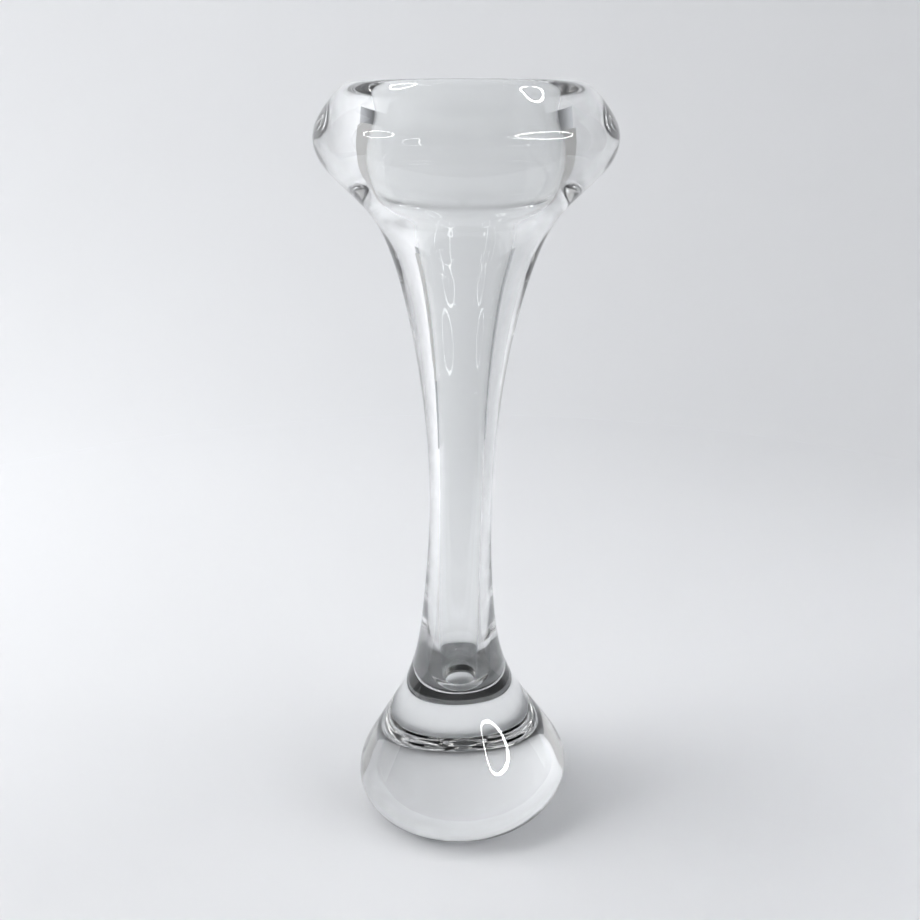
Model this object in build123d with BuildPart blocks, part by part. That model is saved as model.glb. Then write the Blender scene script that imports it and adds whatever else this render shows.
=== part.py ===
"""Clear glass bud vase: a flared mouth, a bored stem and a solid weighted foot, fused end to end.

The vase stands on the plane Z = 0 with its axis along +Z. Every profile is drawn in the XZ plane,
radius along X, and turned once round the axis. Lengths are millimetres.
"""
from build123d import *
import os

os.makedirs("parts", exist_ok=True)

# ---- driving dimensions -------------------------------------------------
overall_height = 210.0      # ground to the top of the lip
trumpet_height = 62.0       # length of the flared mouth, from its joint up to the top of the lip

mouth_radius = 38.9         # widest circle of the lip
lip_height = 12.8           # from that circle up to the top of the lip
lip_radius = 28.8           # circle along the top of the lip
lip_round = 12.5            # radius that rounds the lip's underside into the trumpet
lip_round_angle = 46.0      # how far that rounding turns

bowl_radius = 26.7          # inside the lip, where its rolled edge stands upright
rim_depth = 2.4             # from the top of the lip down to that place
bowl_depth = 7.0            # from the top of the lip down to where the bowl starts to close in
bowl_round = 34.5           # radius that rounds the bowl into the funnel
bowl_round_angle = 42.0     # how far that rounding turns
throat_radius = 12.9        # foot of the funnel, where it turns down into the throat
throat_depth = 37.5         # from the top of the lip down to that place

joint_radius = 14.25        # outside radius where the stem meets the mouth
joint_wall = 6.0            # wall thickness there
waist_radius = 8.95         # thinnest place of the stem
waist_height = 95.0         # where that place is
waist_wall = 2.95           # wall thickness there

foot_radius = 32.1          # widest circle of the solid foot
belly_height = 10.2         # height of that circle above the ground
pad_radius = 27.0           # flat ground disc that the vase stands on
neck_height = 30.0          # joint between the solid foot and the stem
neck_radius = 21.8          # outside radius at that joint

floor_thickness = 6.5       # solid glass from the neck joint up to the lowest point of the bore
bore_end_radius = 6.1       # radius of the bore's rounded end

# ---- places worked out from them ----------------------------------------
mouth_joint = overall_height - trumpet_height
joint_bore = joint_radius - joint_wall
bore_radius = waist_radius - waist_wall
bore_end_height = neck_height + floor_thickness + bore_end_radius
lip_level = overall_height - lip_height
rim_level = overall_height - rim_depth
bowl_level = overall_height - bowl_depth
throat_level = overall_height - throat_depth

brow_height = lip_level + lip_height * 0.71
brow_radius = lip_radius + (mouth_radius - lip_radius) * 0.53
trumpet_flare = mouth_radius - joint_radius
flare_height = mouth_joint + trumpet_height * 0.3
flare_radius = joint_radius + trumpet_flare * 0.202
cup_height = mouth_joint + trumpet_height * 0.47
cup_radius = joint_radius + trumpet_flare * 0.407
gullet_height = mouth_joint + (throat_level - mouth_joint) * 0.57
gullet_radius = joint_bore + (throat_radius - joint_bore) * 0.44
calf_height = neck_height + (waist_height - neck_height) * 0.125
calf_radius = waist_radius + (neck_radius - waist_radius) * 0.63
ankle_height = neck_height + (waist_height - neck_height) * 0.29
ankle_radius = waist_radius + (neck_radius - waist_radius) * 0.317
shin_height = neck_height + (waist_height - neck_height) * 0.53
shin_radius = waist_radius + (neck_radius - waist_radius) * 0.125
nape_height = (waist_height + mouth_joint) / 2
nape_radius = waist_radius + (joint_radius - waist_radius) * 0.245
shoulder_height = belly_height + (neck_height - belly_height) * 0.42
shoulder_radius = neck_radius + (foot_radius - neck_radius) * 0.71

up = (0.0, 1.0)
down = (0.0, -1.0)
inwards = (-1.0, 0.0)
joint_slope = (0.21, 1.0)                  # direction of the outer wall at the mouth joint
joint_bore_slope = (-0.12, -1.0)           # direction of the bore there, going down
neck_slope = (-0.64, 1.0)                  # direction of the outer wall at the neck joint


# ---- flared mouth --------------------------------------------------------
with BuildPart() as flared_mouth:
    with BuildSketch(Plane.XZ):
        with BuildLine():
            underlip = JernArc((mouth_radius, lip_level), down, lip_round, -lip_round_angle)
            outer = Spline(
                (joint_radius, mouth_joint),
                (flare_radius, flare_height),
                (cup_radius, cup_height),
                underlip @ 1,
                tangents=[joint_slope, -(underlip % 1)],
            )
            Spline(
                (mouth_radius, lip_level),
                (brow_radius, brow_height),
                (lip_radius, overall_height),
                tangents=[up, inwards],
            )
            EllipticalCenterArc((lip_radius, rim_level), lip_radius - bowl_radius, rim_depth, 90, arc_size=90)
            Line((bowl_radius, rim_level), (bowl_radius, bowl_level))
            bowl = JernArc((bowl_radius, bowl_level), down, bowl_round, -bowl_round_angle)
            inner = Spline(
                bowl @ 1,
                (throat_radius, throat_level),
                (gullet_radius, gullet_height),
                (joint_bore, mouth_joint),
                tangents=[bowl % 1, joint_bore_slope],
            )
            Line(inner @ 1, outer @ 0)
        make_face()
    revolve(axis=Axis.Z)
flared_mouth.part.label = "flared_mouth"
export_step(flared_mouth.part, "parts/flared_mouth.step")

# ---- bored stem ----------------------------------------------------------
with BuildPart() as bored_stem:
    with BuildSketch(Plane.XZ):
        with BuildLine():
            wall = Spline(
                (neck_radius, neck_height),
                (calf_radius, calf_height),
                (ankle_radius, ankle_height),
                (shin_radius, shin_height),
                (waist_radius, waist_height),
                (nape_radius, nape_height),
                (joint_radius, mouth_joint),
                tangents=[neck_slope, joint_slope],
            )
            Line(wall @ 1, (joint_bore, mouth_joint))
            Spline(
                (joint_bore, mouth_joint),
                (bore_radius, waist_height),
                (bore_end_radius, bore_end_height),
                tangents=[joint_bore_slope, down],
            )
            floor = CenterArc((0, bore_end_height), bore_end_radius, 0, -90)
            Polyline(floor @ 1, (0, neck_height), wall @ 0)
        make_face()
    revolve(axis=Axis.Z)
bored_stem.part.label = "bored_stem"
export_step(bored_stem.part, "parts/bored_stem.step")

# ---- solid foot ----------------------------------------------------------
with BuildPart() as solid_foot:
    with BuildSketch(Plane.XZ):
        with BuildLine():
            edge = TangentArc((foot_radius, belly_height), (pad_radius, 0), tangent=down)
            shoulder = Spline(
                (foot_radius, belly_height),
                (shoulder_radius, shoulder_height),
                (neck_radius, neck_height),
                tangents=[up, neck_slope],
            )
            Polyline(shoulder @ 1, (0, neck_height), (0, 0), edge @ 1)
        make_face()
    revolve(axis=Axis.Z)
solid_foot.part.label = "solid_foot"
export_step(solid_foot.part, "parts/solid_foot.step")
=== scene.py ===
"""A clear glass bud vase on a pale sweep in soft studio light.

The vase is one thick-walled turned form. Its skin is a single smooth outline, from the middle of the flat
foot, up the outer wall, over the lip and down the inside to the rounded end of the bore. The skin is cut
where the three bodies of glass meet, and every cut is closed by a joint face that bends no light.
Lengths are metres; MM turns millimetres into them.
"""
import math

import bpy
import numpy as np
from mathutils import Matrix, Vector


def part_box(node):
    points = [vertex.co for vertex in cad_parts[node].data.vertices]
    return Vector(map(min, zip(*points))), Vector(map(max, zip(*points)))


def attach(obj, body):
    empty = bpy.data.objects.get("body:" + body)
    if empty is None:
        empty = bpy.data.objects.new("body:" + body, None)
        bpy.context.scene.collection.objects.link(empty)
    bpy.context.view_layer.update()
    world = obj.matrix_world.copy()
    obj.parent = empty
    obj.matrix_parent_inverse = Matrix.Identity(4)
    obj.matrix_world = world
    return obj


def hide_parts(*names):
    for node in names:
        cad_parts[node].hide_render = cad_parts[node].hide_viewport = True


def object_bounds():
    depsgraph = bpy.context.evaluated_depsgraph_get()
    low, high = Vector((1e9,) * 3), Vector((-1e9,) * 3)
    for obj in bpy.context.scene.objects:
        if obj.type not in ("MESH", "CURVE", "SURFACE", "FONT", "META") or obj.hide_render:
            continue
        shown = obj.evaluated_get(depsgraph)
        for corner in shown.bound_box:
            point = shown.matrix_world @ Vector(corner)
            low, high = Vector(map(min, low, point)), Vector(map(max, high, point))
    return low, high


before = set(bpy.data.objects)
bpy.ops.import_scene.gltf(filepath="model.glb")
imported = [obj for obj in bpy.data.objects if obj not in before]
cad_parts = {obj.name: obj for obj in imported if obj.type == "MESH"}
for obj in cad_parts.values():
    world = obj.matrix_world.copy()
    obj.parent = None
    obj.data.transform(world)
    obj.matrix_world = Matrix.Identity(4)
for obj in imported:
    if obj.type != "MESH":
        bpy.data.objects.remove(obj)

MM = 0.001
cad_low, cad_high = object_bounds()
foot_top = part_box("solid_foot")[1]
stem_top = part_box("bored_stem")[1]
mouth_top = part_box("flared_mouth")[1]

# ---- the vase's own measures, in millimetres ----------------------------
HEIGHT = mouth_top.z / MM
MOUTH_RADIUS = min(mouth_top.x, mouth_top.y) / MM
FOOT_RADIUS = min(foot_top.x, foot_top.y) / MM
NECK = foot_top.z / MM                # joint between foot and stem
MOUTH_JOINT = stem_top.z / MM         # joint between stem and mouth

BELLY_HEIGHT = 10.2                   # widest circle of the foot
EDGE_ROUND = 12.75                    # rounds the belly down towards the ground
PAD_ROUND = 1.5                       # small rounding round the ground disc
NECK_RADIUS = 21.8
WAIST_RADIUS = 8.95
JOINT_RADIUS = 14.25                  # outer wall where stem and mouth meet
JOINT_BORE = 8.25                     # bore there
LIP_RISE = 12.8                       # from the lip's widest circle to its top
LIP_RADIUS = 28.8                     # circle along the top of the lip
BOWL_RADIUS = 26.7                    # where the lip's rolled edge stands upright inside
RIM_DEPTH = 2.4                       # from the lip's top down to that circle
BORE_RADIUS = 6.0                     # at the waist
WAIST_HEIGHT = 95.0
BORE_END_RADIUS = 6.1
BORE_FLOOR = 36.5                     # lowest point of the bore

COLUMNS = 256                         # grid columns round the axis
STEP = 0.7                            # grid rows this far apart along the outline
DISC_ROWS = 12                        # grid rows across a joint face

# Middle of the glass off the axis, along X, at a few heights: hand work is never quite straight.
LEAN = (
    (0.0, -1.9), (10.0, -0.75), (30.0, -1.15), (95.0, -1.35), (150.0, -0.65), (180.0, -0.05), (210.0, 0.0),
)

GLASS_TINT = (0.985, 0.992, 0.99)
GLASS_IOR = 1.5
WAVE_STRENGTH = 0.5                   # share of each wave's depth that shows
SWELL_SCALE = 55.0                    # slow swells, per metre
SWELL_DEPTH = 0.06
LINE_SCALE = 210.0                    # finer waves, per metre
LINE_DEPTH = 0.012
LINE_STRETCH = 0.12                   # draws the finer waves out along the stem


# ---- outline -------------------------------------------------------------
def bend(start, heading, radius, turn):
    """Points of an arc that leaves start in the given heading (degrees from +r) and turns by turn degrees,
    clockwise when negative. A point lies at start + radius * (difference of the two headings' normals)."""
    count = max(6, int(math.radians(abs(turn)) * radius / STEP) + 2)
    side = math.copysign(1.0, turn)
    angle = np.radians(heading + np.linspace(0.0, turn, count))
    first = math.radians(heading)
    r = start[0] + side * radius * (np.sin(angle) - math.sin(first))
    z = start[1] - side * radius * (np.cos(angle) - math.cos(first))
    return np.stack([r, z], axis=1)


def quarter_oval(middle, r_axis, z_axis, first, last):
    """Points of an oval round middle: r = r_axis cos a, z = z_axis sin a, from angle first to last."""
    count = int(1.6 * max(r_axis, z_axis) / STEP) + 8
    angle = np.radians(np.linspace(first, last, count))
    return np.stack([middle[0] + r_axis * np.cos(angle), middle[1] + z_axis * np.sin(angle)], axis=1)


def smooth_line(knots, first_way, last_way):
    """A cubic spline through the knots whose slope and curvature run on across each knot.
    The parameter is the chord length; the end slopes are the unit vectors of first_way and last_way."""
    knots = np.array(knots, float)
    chord = np.linalg.norm(np.diff(knots, axis=0), axis=1)
    count = len(knots)
    matrix = np.eye(count)
    right = np.zeros((count, 2))
    right[0] = np.array(first_way) / np.linalg.norm(first_way)
    right[-1] = np.array(last_way) / np.linalg.norm(last_way)
    for k in range(1, count - 1):
        before, after = chord[k - 1], chord[k]
        matrix[k, k - 1 : k + 2] = after, 2 * (before + after), before
        slope_before = (knots[k] - knots[k - 1]) / before
        slope_after = (knots[k + 1] - knots[k]) / after
        right[k] = 3 * (after * slope_before + before * slope_after)
    slope = np.linalg.solve(matrix, right)
    spans = []
    for k in range(count - 1):
        t = np.linspace(0.0, 1.0, int(chord[k] / STEP) + 3)[:, None]
        spans.append(
            (2 * t**3 - 3 * t**2 + 1) * knots[k]
            + (t**3 - 2 * t**2 + t) * chord[k] * slope[k]
            + (3 * t**2 - 2 * t**3) * knots[k + 1]
            + (t**3 - t**2) * chord[k] * slope[k + 1]
        )
    return joined(spans)


def joined(runs):
    """One list of points from runs that each start where the last one ended."""
    return np.concatenate([runs[0]] + [run[1:] for run in runs[1:]])


def foot_underside():
    """From the axis along the ground disc, round its edge and up to the belly."""
    sine = (BELLY_HEIGHT - PAD_ROUND) / (EDGE_ROUND - PAD_ROUND)
    turn = math.degrees(math.asin(sine))
    edge = bend((FOOT_RADIUS, BELLY_HEIGHT), -90.0, EDGE_ROUND, -turn)
    pad = bend(edge[-1], -90.0 - turn, PAD_ROUND, turn - 90.0)
    flat = np.linspace(pad[-1], (0.0, 0.0), 24)
    return joined([edge, pad, flat])[::-1]


def outer_wall():
    """From the belly up the foot's shoulder, the stem and the trumpet, round the lip to its top."""
    knots = [
        (FOOT_RADIUS, BELLY_HEIGHT), (29.1, 18.5), (NECK_RADIUS, NECK),
        (17.05, 38.1), (13.0, 48.9), (10.55, 64.5), (WAIST_RADIUS, WAIST_HEIGHT), (10.25, 121.5),
        (JOINT_RADIUS, MOUTH_JOINT), (19.2, 166.6), (24.3, 177.1), (35.05, 188.2), (37.9, 192.3),
        (MOUTH_RADIUS, HEIGHT - LIP_RISE), (34.15, 206.3), (LIP_RADIUS, HEIGHT),
    ]
    return smooth_line(knots, (0.0, 1.0), (-1.0, 0.0))


def inner_wall():
    """From inside the lip down the bowl, the throat and the bore to where the bore's end starts to round."""
    knots = [
        (BOWL_RADIUS, HEIGHT - RIM_DEPTH), (BOWL_RADIUS, 203.0), (25.6, 195.0), (23.05, 187.6),
        (19.2, 181.5), (15.3, 177.0), (12.9, 172.5), (11.5, 167.5), (10.3, 162.0),
        (JOINT_BORE, MOUTH_JOINT), (BORE_RADIUS, WAIST_HEIGHT),
        (BORE_END_RADIUS, BORE_FLOOR + BORE_END_RADIUS),
    ]
    return smooth_line(knots, (0.0, -1.0), (0.0, -1.0))


def skin_outline():
    """The whole outline as (radius, height) points, from the foot's middle to the bore's end."""
    roll = quarter_oval((LIP_RADIUS, HEIGHT - RIM_DEPTH), LIP_RADIUS - BOWL_RADIUS, RIM_DEPTH, 90, 180)
    end = quarter_oval((0.0, BORE_FLOOR + BORE_END_RADIUS), BORE_END_RADIUS, BORE_END_RADIUS, 0, -90)
    return joined([foot_underside(), outer_wall(), roll, inner_wall(), end])


# ---- skin ----------------------------------------------------------------
def lean_at(height):
    """The glass's sideways offset at each height, along the smooth line through LEAN."""
    line = smooth_line(LEAN, (1.0, 0.0), (1.0, 0.0))
    return np.interp(height, line[:, 0], line[:, 1])


def turned(outline):
    """A grid of points in metres: row i is outline point i turned round the axis, shifted along X by the
    lean at its height. Column j stands at angle 2 pi j / COLUMNS."""
    angle = np.linspace(0.0, 2 * math.pi, COLUMNS, endpoint=False)
    r, z = outline[:, :1], outline[:, 1:]
    x = r * np.cos(angle) + lean_at(z)
    y = r * np.sin(angle)
    return np.stack([x, y, np.broadcast_to(z, x.shape)], axis=2) * MM


def grid_normals(grid):
    """Unit normals: the cross product of the steps round the axis and along the outline. A row that is
    a single point on the axis takes the normal straight along Z from its neighbour."""
    along = np.gradient(grid, axis=0)
    around = np.roll(grid, -1, axis=1) - np.roll(grid, 1, axis=1)
    normal = np.cross(around, along)
    size = np.linalg.norm(normal, axis=2, keepdims=True)
    normal = normal / np.maximum(size, 1e-12)
    for end, neighbour in ((0, 1), (-1, -2)):
        normal[end] = (0.0, 0.0, math.copysign(1.0, normal[neighbour, 0, 2]))
    return normal


def row_at(outline, radius, height):
    """The row of the outline nearest to a radius and height."""
    return int(np.argmin(np.hypot(outline[:, 0] - radius, outline[:, 1] - height)))


def disc_rows(first, last, normal_z):
    """Flat rows between two rings of points: each row is a straight mix of the two."""
    share = np.linspace(0.0, 1.0, DISC_ROWS)[:, None, None]
    grid = first + (last - first) * share
    return grid, np.broadcast_to((0.0, 0.0, normal_z), grid.shape)


def row_of_quads(low, high):
    """The four corners of each quad between two grid rows: low, next low, next high, high."""
    return np.stack([low, np.roll(low, -1, axis=0), np.roll(high, -1, axis=0), high], axis=1)


def piece_from_runs(name, runs, cyclic):
    """A closed mesh from runs of grid rows. Each run is (points, normals, material number) and starts on the
    last row of the run before it. Rows that are single points become one vertex. Every face corner keeps
    the normal of its own run, so a joint face stays sharp and the skin stays smooth right up to it."""
    rows = joined([points for points, _, _ in runs])
    if cyclic:
        rows = rows[:-1]
    pole = np.ptp(rows, axis=1).max(axis=1) < 1e-7
    size = np.where(pole, 1, COLUMNS)
    start = np.concatenate([[0], np.cumsum(size)[:-1]])
    index = start[:, None] + np.where(pole[:, None], 0, np.arange(COLUMNS))
    vertices = np.concatenate([rows[i, : size[i]] for i in range(len(rows))])

    corners, corner_normals, numbers, at = [], [], [], 0
    for points, normals, number in runs:
        for i in range(len(points) - 1):
            low, high = (at + i) % len(rows), (at + i + 1) % len(rows)
            quad = row_of_quads(index[low], index[high])
            bent = row_of_quads(normals[i], normals[i + 1])
            if pole[low]:
                quad, bent = quad[:, [0, 2, 3]], bent[:, [0, 2, 3]]
            elif pole[high]:
                quad, bent = quad[:, :3], bent[:, :3]
            corners.append(quad)
            corner_normals.append(bent.reshape(-1, 3))
            numbers += [number] * len(quad)
        at += len(points) - 1
    return mesh_object(name, vertices, corners, np.concatenate(corner_normals), numbers)


def mesh_object(name, vertices, corners, corner_normals, numbers):
    """Puts arrays of vertices and of face corners into a new object."""
    mesh = bpy.data.meshes.new(name)
    mesh.vertices.add(len(vertices))
    mesh.vertices.foreach_set("co", vertices.ravel())
    flat = np.concatenate([c.ravel() for c in corners])
    sides = np.concatenate([np.full(len(c), c.shape[1]) for c in corners])
    mesh.loops.add(len(flat))
    mesh.loops.foreach_set("vertex_index", flat.astype(np.int32))
    mesh.polygons.add(len(sides))
    mesh.polygons.foreach_set("loop_start", np.concatenate([[0], np.cumsum(sides)[:-1]]).astype(np.int32))
    mesh.polygons.foreach_set("material_index", np.array(numbers, np.int32))
    mesh.update(calc_edges=True)
    mesh.shade_smooth()
    mesh.normals_split_custom_set(corner_normals.tolist())
    made = bpy.data.objects.new(name, mesh)
    bpy.context.scene.collection.objects.link(made)
    return made


# ---- finishes ------------------------------------------------------------
def new_material(name):
    """A new material, its node tree and its shader."""
    material = bpy.data.materials.new(name)
    material.use_nodes = True
    return material, material.node_tree, material.node_tree.nodes["Principled BSDF"]


def waves(tree, place, scale, depth, beneath=None):
    """The normal of a surface that rises and falls with a soft noise, laid on the waves beneath it."""
    noise = tree.nodes.new("ShaderNodeTexNoise")
    noise.inputs["Scale"].default_value = scale
    noise.inputs["Detail"].default_value = 1.0
    tree.links.new(place, noise.inputs["Vector"])
    bump = tree.nodes.new("ShaderNodeBump")
    bump.inputs["Strength"].default_value = WAVE_STRENGTH
    bump.inputs["Distance"].default_value = depth * MM
    tree.links.new(noise.outputs["Fac"], bump.inputs["Height"])
    if beneath:
        tree.links.new(beneath, bump.inputs["Normal"])
    return bump.outputs["Normal"]


def clear_glass():
    """Fire-polished clear glass: a faint cool tint, and a surface that waves by a few hundredths of a
    millimetre, in slow swells and in finer lines drawn out along the stem."""
    material, tree, shader = new_material("clear_glass")
    shader.inputs["Base Color"].default_value = (*GLASS_TINT, 1.0)
    shader.inputs["Transmission Weight"].default_value = 1.0
    shader.inputs["Roughness"].default_value = 0.0
    shader.inputs["IOR"].default_value = GLASS_IOR
    place = tree.nodes.new("ShaderNodeTexCoord").outputs["Object"]
    drawn = tree.nodes.new("ShaderNodeMapping")
    drawn.inputs["Scale"].default_value = (1.0, 1.0, LINE_STRETCH)
    tree.links.new(place, drawn.inputs["Vector"])
    swells = waves(tree, place, SWELL_SCALE, SWELL_DEPTH)
    lines = waves(tree, drawn.outputs["Vector"], LINE_SCALE, LINE_DEPTH, swells)
    tree.links.new(lines, shader.inputs["Normal"])
    return material


def fused_joint():
    """The face where two bodies of glass are fused: it neither bends nor mirrors light."""
    material, _, shader = new_material("fused_joint")
    shader.inputs["Alpha"].default_value = 0.0
    return material


def smooth_fade(tree, source, start, end, low, high):
    """A value that runs smoothly from low to high while the source runs from start to end."""
    fade = tree.nodes.new("ShaderNodeMapRange")
    fade.interpolation_type = "SMOOTHSTEP"
    fade.inputs["From Min"].default_value = start
    fade.inputs["From Max"].default_value = end
    fade.inputs["To Min"].default_value = low
    fade.inputs["To Max"].default_value = high
    tree.links.new(source, fade.inputs["Value"])
    return fade.outputs["Result"]


def matt_paper(name, colour):
    """Paper that scatters light and mirrors nothing."""
    material, _, shader = new_material(name)
    shader.inputs["Base Color"].default_value = (*colour, 1.0)
    shader.inputs["Roughness"].default_value = 1.0
    shader.inputs["Specular IOR Level"].default_value = 0.0
    return material


def glowing_paper(name, colour):
    """Matt paper close to the floor that turns, higher up, into an even glow of its own: the paper's share
    falls with height and the glow's share rises."""
    material = matt_paper(name, colour)
    tree = material.node_tree
    shader = tree.nodes["Principled BSDF"]
    place = tree.nodes.new("ShaderNodeTexCoord")
    parts = tree.nodes.new("ShaderNodeSeparateXYZ")
    tree.links.new(place.outputs["Object"], parts.inputs["Vector"])
    height = parts.outputs["Z"]
    tint = tree.nodes.new("ShaderNodeVectorMath")
    tint.operation = "SCALE"
    tint.inputs[0].default_value = colour
    tree.links.new(smooth_fade(tree, height, 0.0, GLOW_HEIGHT, 1.0, 0.0), tint.inputs["Scale"])
    tree.links.new(tint.outputs["Vector"], shader.inputs["Base Color"])
    glow = smooth_fade(tree, height, 0.0, GLOW_HEIGHT, 0.0, GLOW_STRENGTH)
    tree.links.new(glow, shader.inputs["Emission Strength"])
    shader.inputs["Emission Color"].default_value = (*GLOW_COLOUR, 1.0)
    return material


def lamp_glow(name, strength):
    """A white glow that scatters no other light."""
    material, _, shader = new_material(name)
    shader.inputs["Base Color"].default_value = (0.0, 0.0, 0.0, 1.0)
    shader.inputs["Emission Color"].default_value = (1.0, 1.0, 1.0, 1.0)
    shader.inputs["Emission Strength"].default_value = strength
    return material


# ---- the vase ------------------------------------------------------------
def make_vase():
    """The three bodies of glass, each closed by its own joint faces."""
    outline = skin_outline()
    grid = turned(outline)
    normals = grid_normals(grid)
    neck = row_at(outline, NECK_RADIUS, NECK)
    rim = row_at(outline, JOINT_RADIUS, MOUTH_JOINT)
    bore = row_at(outline, JOINT_BORE, MOUTH_JOINT)
    glass, joint = clear_glass(), fused_joint()
    middle = np.broadcast_to(grid[neck].mean(axis=0), grid[neck].shape)

    def skin(first, last):
        """The run of skin from one row to another."""
        return grid[first : last + 1], normals[first : last + 1], 0

    pieces = {
        "solid_foot": ("foot_glass", [skin(0, neck), (*disc_rows(grid[neck], middle, 1.0), 1)], False),
        "bored_stem": ("stem_glass", [
            (*disc_rows(middle, grid[neck], -1.0), 1),
            skin(neck, rim),
            (*disc_rows(grid[rim], grid[bore], 1.0), 1),
            skin(bore, len(grid) - 1),
        ], False),
        "flared_mouth": ("mouth_glass", [
            skin(rim, bore),
            (*disc_rows(grid[bore], grid[rim], -1.0), 1),
        ], True),
    }
    for node, (name, runs, cyclic) in pieces.items():
        piece = piece_from_runs(name, runs, cyclic)
        piece.data.materials.append(glass)
        piece.data.materials.append(joint)
        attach(piece, "root")
        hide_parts(node)


# ---- studio --------------------------------------------------------------
CAMERA_TILT = 18.95                   # degrees down
CAMERA_AWAY = 1.3515 * cad_high.z     # from the aim
CAMERA_AIM = Vector((-1.53 * MM, 0.0, 0.5225 * cad_high.z))
CAMERA_LENS = 39.13                   # millimetres
SENSOR_WIDTH = 36.0                   # millimetres
FLOOR_DROP = 0.2 * MM                 # keeps the floor clear of the foot's flat
SWEEP_COLUMNS = 97
SWEEP_RADIUS = 0.42                   # where the paper leaves the floor
SWEEP_BEND = 0.42                     # radius of its curve up to the wall
SWEEP_HEIGHT = 2.0
FLOOR_RINGS = (0.0005, 0.2, SWEEP_RADIUS)
WALL_HALF = 62.0                      # degrees of real wall to each side of straight behind
PAPER = (0.74, 0.75, 0.77)
GLOW_COLOUR = (0.94, 0.96, 1.0)
GLOW_STRENGTH = 0.72
GLOW_HEIGHT = 0.35                    # where the front wall's own glow is full
DARK_ROOM = (0.012, 0.012, 0.014)
DARK_REACH = 1.2                      # how far the dark room's floor goes
DARK_LEVEL = 1.0 * MM                 # it lies this far above the paper
PAPER_FRONT = 0.06                    # past this the glass sees the dark room in front

# Panels: name, place, aim, width, height, power in watts. The glass doesn't see them.
PANELS = (
    ("left_panel", (-0.8, 0.0, 0.6), (0, 0.3, 0.2), 0.7, 0.7, 7.0),
    ("wall_panel", (-0.35, 0.05, 0.75), (-0.45, 0.8, 0.4), 0.5, 0.5, 2.6),
    ("right_panel", (0.8, 0.0, 0.5), (0, 0, 0.1), 0.5, 0.6, 1.2),
)
# Cards: name, x, range of y, range of z, strength. Only the glass sees them.
CARDS = (
    ("left_card", -0.5, (-0.02, 0.3), (0.02, 0.6), 0.5),
    ("right_card", 0.5, (0.08, 0.3), (0.05, 0.5), 0.35),
)
# Ring lamps: name, place, aim, width, height, half the tube's thickness, strength. They draw the loops of
# light on the lip, the stem and the foot.
RING_LAMPS = (
    ("right_ring", (0.376, -0.242, 0.288), (0, 0, 0.05), 0.38, 0.13, 0.005, 40.0),
    ("high_right_ring", (0.25, 0.054, 0.638), (0, 0, 0.2), 0.14, 0.1, 0.004, 40.0),
    ("high_left_ring", (-0.207, 0.141, 0.634), (0, 0, 0.2), 0.14, 0.1, 0.004, 40.0),
    ("left_ring", (-0.396, -0.188, 0.302), (0, 0, 0.1), 0.2, 0.12, 0.004, 25.0),
)
ROOM_COLOUR = (0.92, 0.95, 1.0)
ROOM_FRONT = 0.01                     # strength from the middle of the room forwards
ROOM_BEHIND = 0.95                    # strength far behind
ROOM_TURN = 0.8                       # where along Y, of 1, the room is as bright as it gets
LIGHT_BOUNCES = 32                    # enough for light to leave the glass again
MIRROR_BOUNCES = 16


def make_camera():
    """The camera looks at CAMERA_AIM from CAMERA_AWAY in front, tilted down."""
    tilt = math.radians(CAMERA_TILT)
    back = Vector((0.0, -math.cos(tilt), math.sin(tilt)))
    data = bpy.data.cameras.new("camera")
    data.sensor_width = SENSOR_WIDTH
    data.lens = CAMERA_LENS
    data.clip_start = 0.01
    camera = bpy.data.objects.new("camera", data)
    camera.location = CAMERA_AIM + back * CAMERA_AWAY
    camera.rotation_mode = "QUATERNION"
    camera.rotation_quaternion = (-back).to_track_quat("-Z", "Y")
    bpy.context.scene.collection.objects.link(camera)
    bpy.context.scene.camera = camera


def stage_mesh(name, vertices, faces, material):
    """A smooth mesh that belongs to the studio."""
    mesh = bpy.data.meshes.new(name)
    mesh.from_pydata([tuple(v) for v in vertices], [], faces)
    mesh.materials.append(material)
    mesh.shade_smooth()
    made = bpy.data.objects.new(name, mesh)
    bpy.context.scene.collection.objects.link(made)
    return made


def round_rows(name, profile, material, first=0.0, last=360.0):
    """A stage surface turned round the axis from (radius, height) points, facing the axis and up. It runs
    from the first to the last angle, in degrees from +X."""
    columns = SWEEP_COLUMNS
    angle = np.radians(np.linspace(first, last, columns))
    points = [(r * math.cos(a), r * math.sin(a), z) for r, z in profile for a in angle]
    faces = [
        (i * columns + j, (i + 1) * columns + j, (i + 1) * columns + j + 1, i * columns + j + 1)
        for i in range(len(profile) - 1)
        for j in range(columns - 1)
    ]
    return stage_mesh(name, points, faces, material)


def seen_only_by(piece, camera=False, glass=False):
    """Hides a studio piece from all light paths but the camera's or the glass's own. It casts no shadow."""
    piece.visible_camera = camera
    piece.visible_transmission = glass
    piece.visible_glossy = glass
    piece.visible_diffuse = False
    piece.visible_shadow = False


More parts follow.
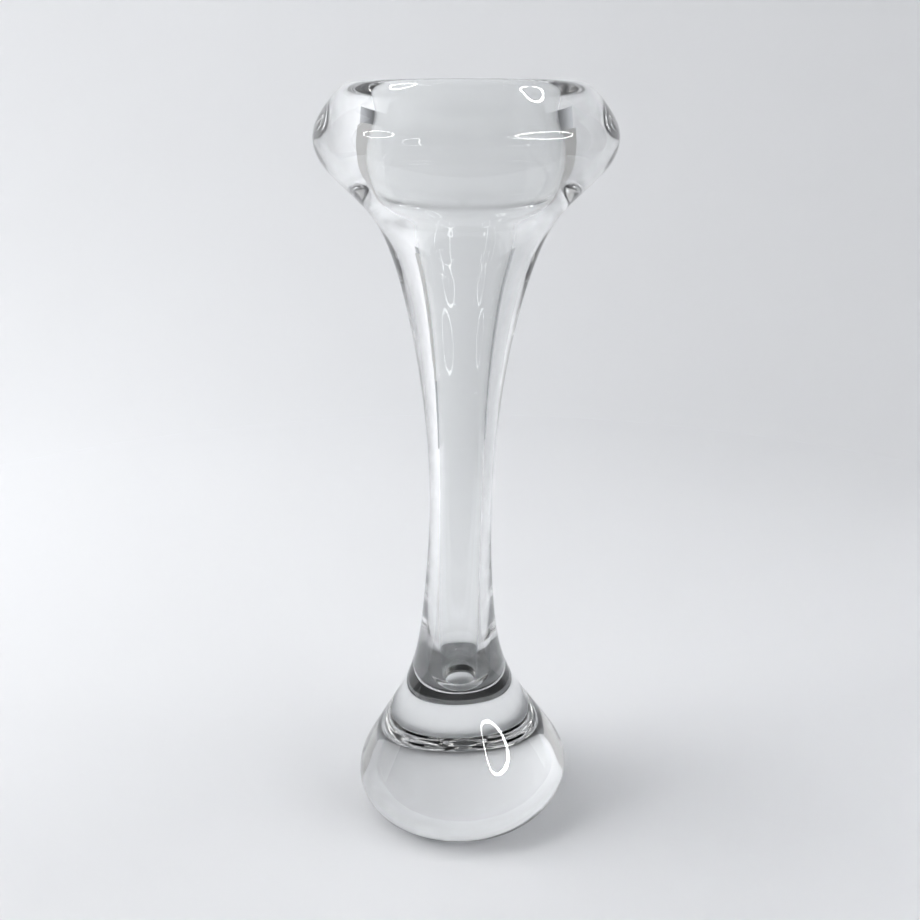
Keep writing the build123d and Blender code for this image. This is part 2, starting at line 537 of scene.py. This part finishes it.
def make_sweep():
    """Pale paper: a round floor that curves up into a wall. The wall behind the vase is real; the wall in
    front is seen by the camera alone, and the glass sees a dark room there."""
    paper = matt_paper("pale_paper", PAPER)
    round_rows("floor", [(ring, -FLOOR_DROP) for ring in FLOOR_RINGS], paper)
    turn = np.radians(np.linspace(0.0, 90.0, 16))
    out = SWEEP_RADIUS + SWEEP_BEND * np.sin(turn)
    up = SWEEP_BEND * (1 - np.cos(turn)) - FLOOR_DROP
    rise = [*zip(out, up), (SWEEP_RADIUS + SWEEP_BEND, SWEEP_HEIGHT)]
    round_rows("wall_behind", rise, paper, 90.0 - WALL_HALF, 90.0 + WALL_HALF)
    front_paper = glowing_paper("front_paper", PAPER)
    wall = round_rows("wall_in_front", rise, front_paper, 90.0 + WALL_HALF, 450.0 - WALL_HALF)
    seen_only_by(wall, camera=True)
    corners = [
        (-DARK_REACH, -DARK_REACH, DARK_LEVEL), (DARK_REACH, -DARK_REACH, DARK_LEVEL),
        (DARK_REACH, -PAPER_FRONT, DARK_LEVEL), (-DARK_REACH, -PAPER_FRONT, DARK_LEVEL),
    ]
    front = stage_mesh("dark_front", corners, [(0, 1, 2, 3)], matt_paper("dark_room", DARK_ROOM))
    seen_only_by(front, glass=True)


def make_panel(name, place, aim, width, height, power):
    """A flat soft lamp that lights the paper and the room, and doesn't show in the glass."""
    data = bpy.data.lights.new(name, "AREA")
    data.shape = "RECTANGLE"
    data.size, data.size_y = width, height
    data.energy = power
    lamp = bpy.data.objects.new(name, data)
    lamp.location = place
    lamp.rotation_euler = (Vector(aim) - Vector(place)).to_track_quat("-Z", "Y").to_euler()
    lamp.visible_glossy = False
    lamp.visible_transmission = False
    bpy.context.scene.collection.objects.link(lamp)


def make_card(name, x, y_range, z_range, strength):
    """An upright glowing card across X that only the glass sees."""
    corners = [(x, y, z) for y, z in zip((*y_range, *reversed(y_range)), np.repeat(z_range, 2))]
    card = stage_mesh(name, corners, [(0, 1, 2, 3)], lamp_glow(name, strength))
    seen_only_by(card, glass=True)


def make_ring_lamp(name, place, aim, width, height, thickness, strength):
    """A glowing tube bent into an oval that faces its aim: a circle carried round an oval path."""
    turns, sides = 72, 8
    path = np.linspace(0.0, 2 * math.pi, turns, endpoint=False)
    around = np.linspace(0.0, 2 * math.pi, sides, endpoint=False)
    facing = (Vector(aim) - Vector(place)).to_track_quat("-Z", "Y").to_matrix()
    points, faces = [], []
    for t in path:
        for a in around:
            reach = thickness * math.cos(a)
            across = (width / 2 + reach) * math.cos(t)
            along = (height / 2 + reach) * math.sin(t)
            local = Vector((across, along, thickness * math.sin(a)))
            points.append(facing @ local + Vector(place))
    for i in range(turns):
        for j in range(sides):
            k, m = (i + 1) % turns, (j + 1) % sides
            faces.append((i * sides + j, k * sides + j, k * sides + m, i * sides + m))
    ring = stage_mesh(name, points, faces, lamp_glow(name, strength))
    ring.visible_camera = False


def make_lights():
    """Soft panels for the paper, cards and rings for the glass."""
    for panel in PANELS:
        make_panel(*panel)
    for card in CARDS:
        make_card(*card)
    for ring in RING_LAMPS:
        make_ring_lamp(*ring)


def make_room():
    """A room that is dark in front, where the viewer stands, and bright behind."""
    world = bpy.data.worlds.new("room")
    bpy.context.scene.world = world
    world.use_nodes = True
    tree = world.node_tree
    light = tree.nodes["Background"]
    place = tree.nodes.new("ShaderNodeTexCoord")
    parts = tree.nodes.new("ShaderNodeSeparateXYZ")
    tree.links.new(place.outputs["Generated"], parts.inputs["Vector"])
    strength = smooth_fade(tree, parts.outputs["Y"], 0.0, ROOM_TURN, ROOM_FRONT, ROOM_BEHIND)
    tree.links.new(strength, light.inputs["Strength"])
    light.inputs["Color"].default_value = (*ROOM_COLOUR, 1.0)


def set_light_paths():
    """Lets light pass through many walls of glass before it is given up."""
    scene = bpy.context.scene
    scene.view_settings.view_transform = "Standard"
    scene.cycles.max_bounces = LIGHT_BOUNCES
    scene.cycles.transmission_bounces = LIGHT_BOUNCES
    scene.cycles.glossy_bounces = MIRROR_BOUNCES
    scene.cycles.transparent_max_bounces = LIGHT_BOUNCES
    scene.cycles.caustics_refractive = True
    scene.cycles.caustics_reflective = True


make_camera()
make_vase()
make_sweep()
make_lights()
make_room()
set_light_paths()
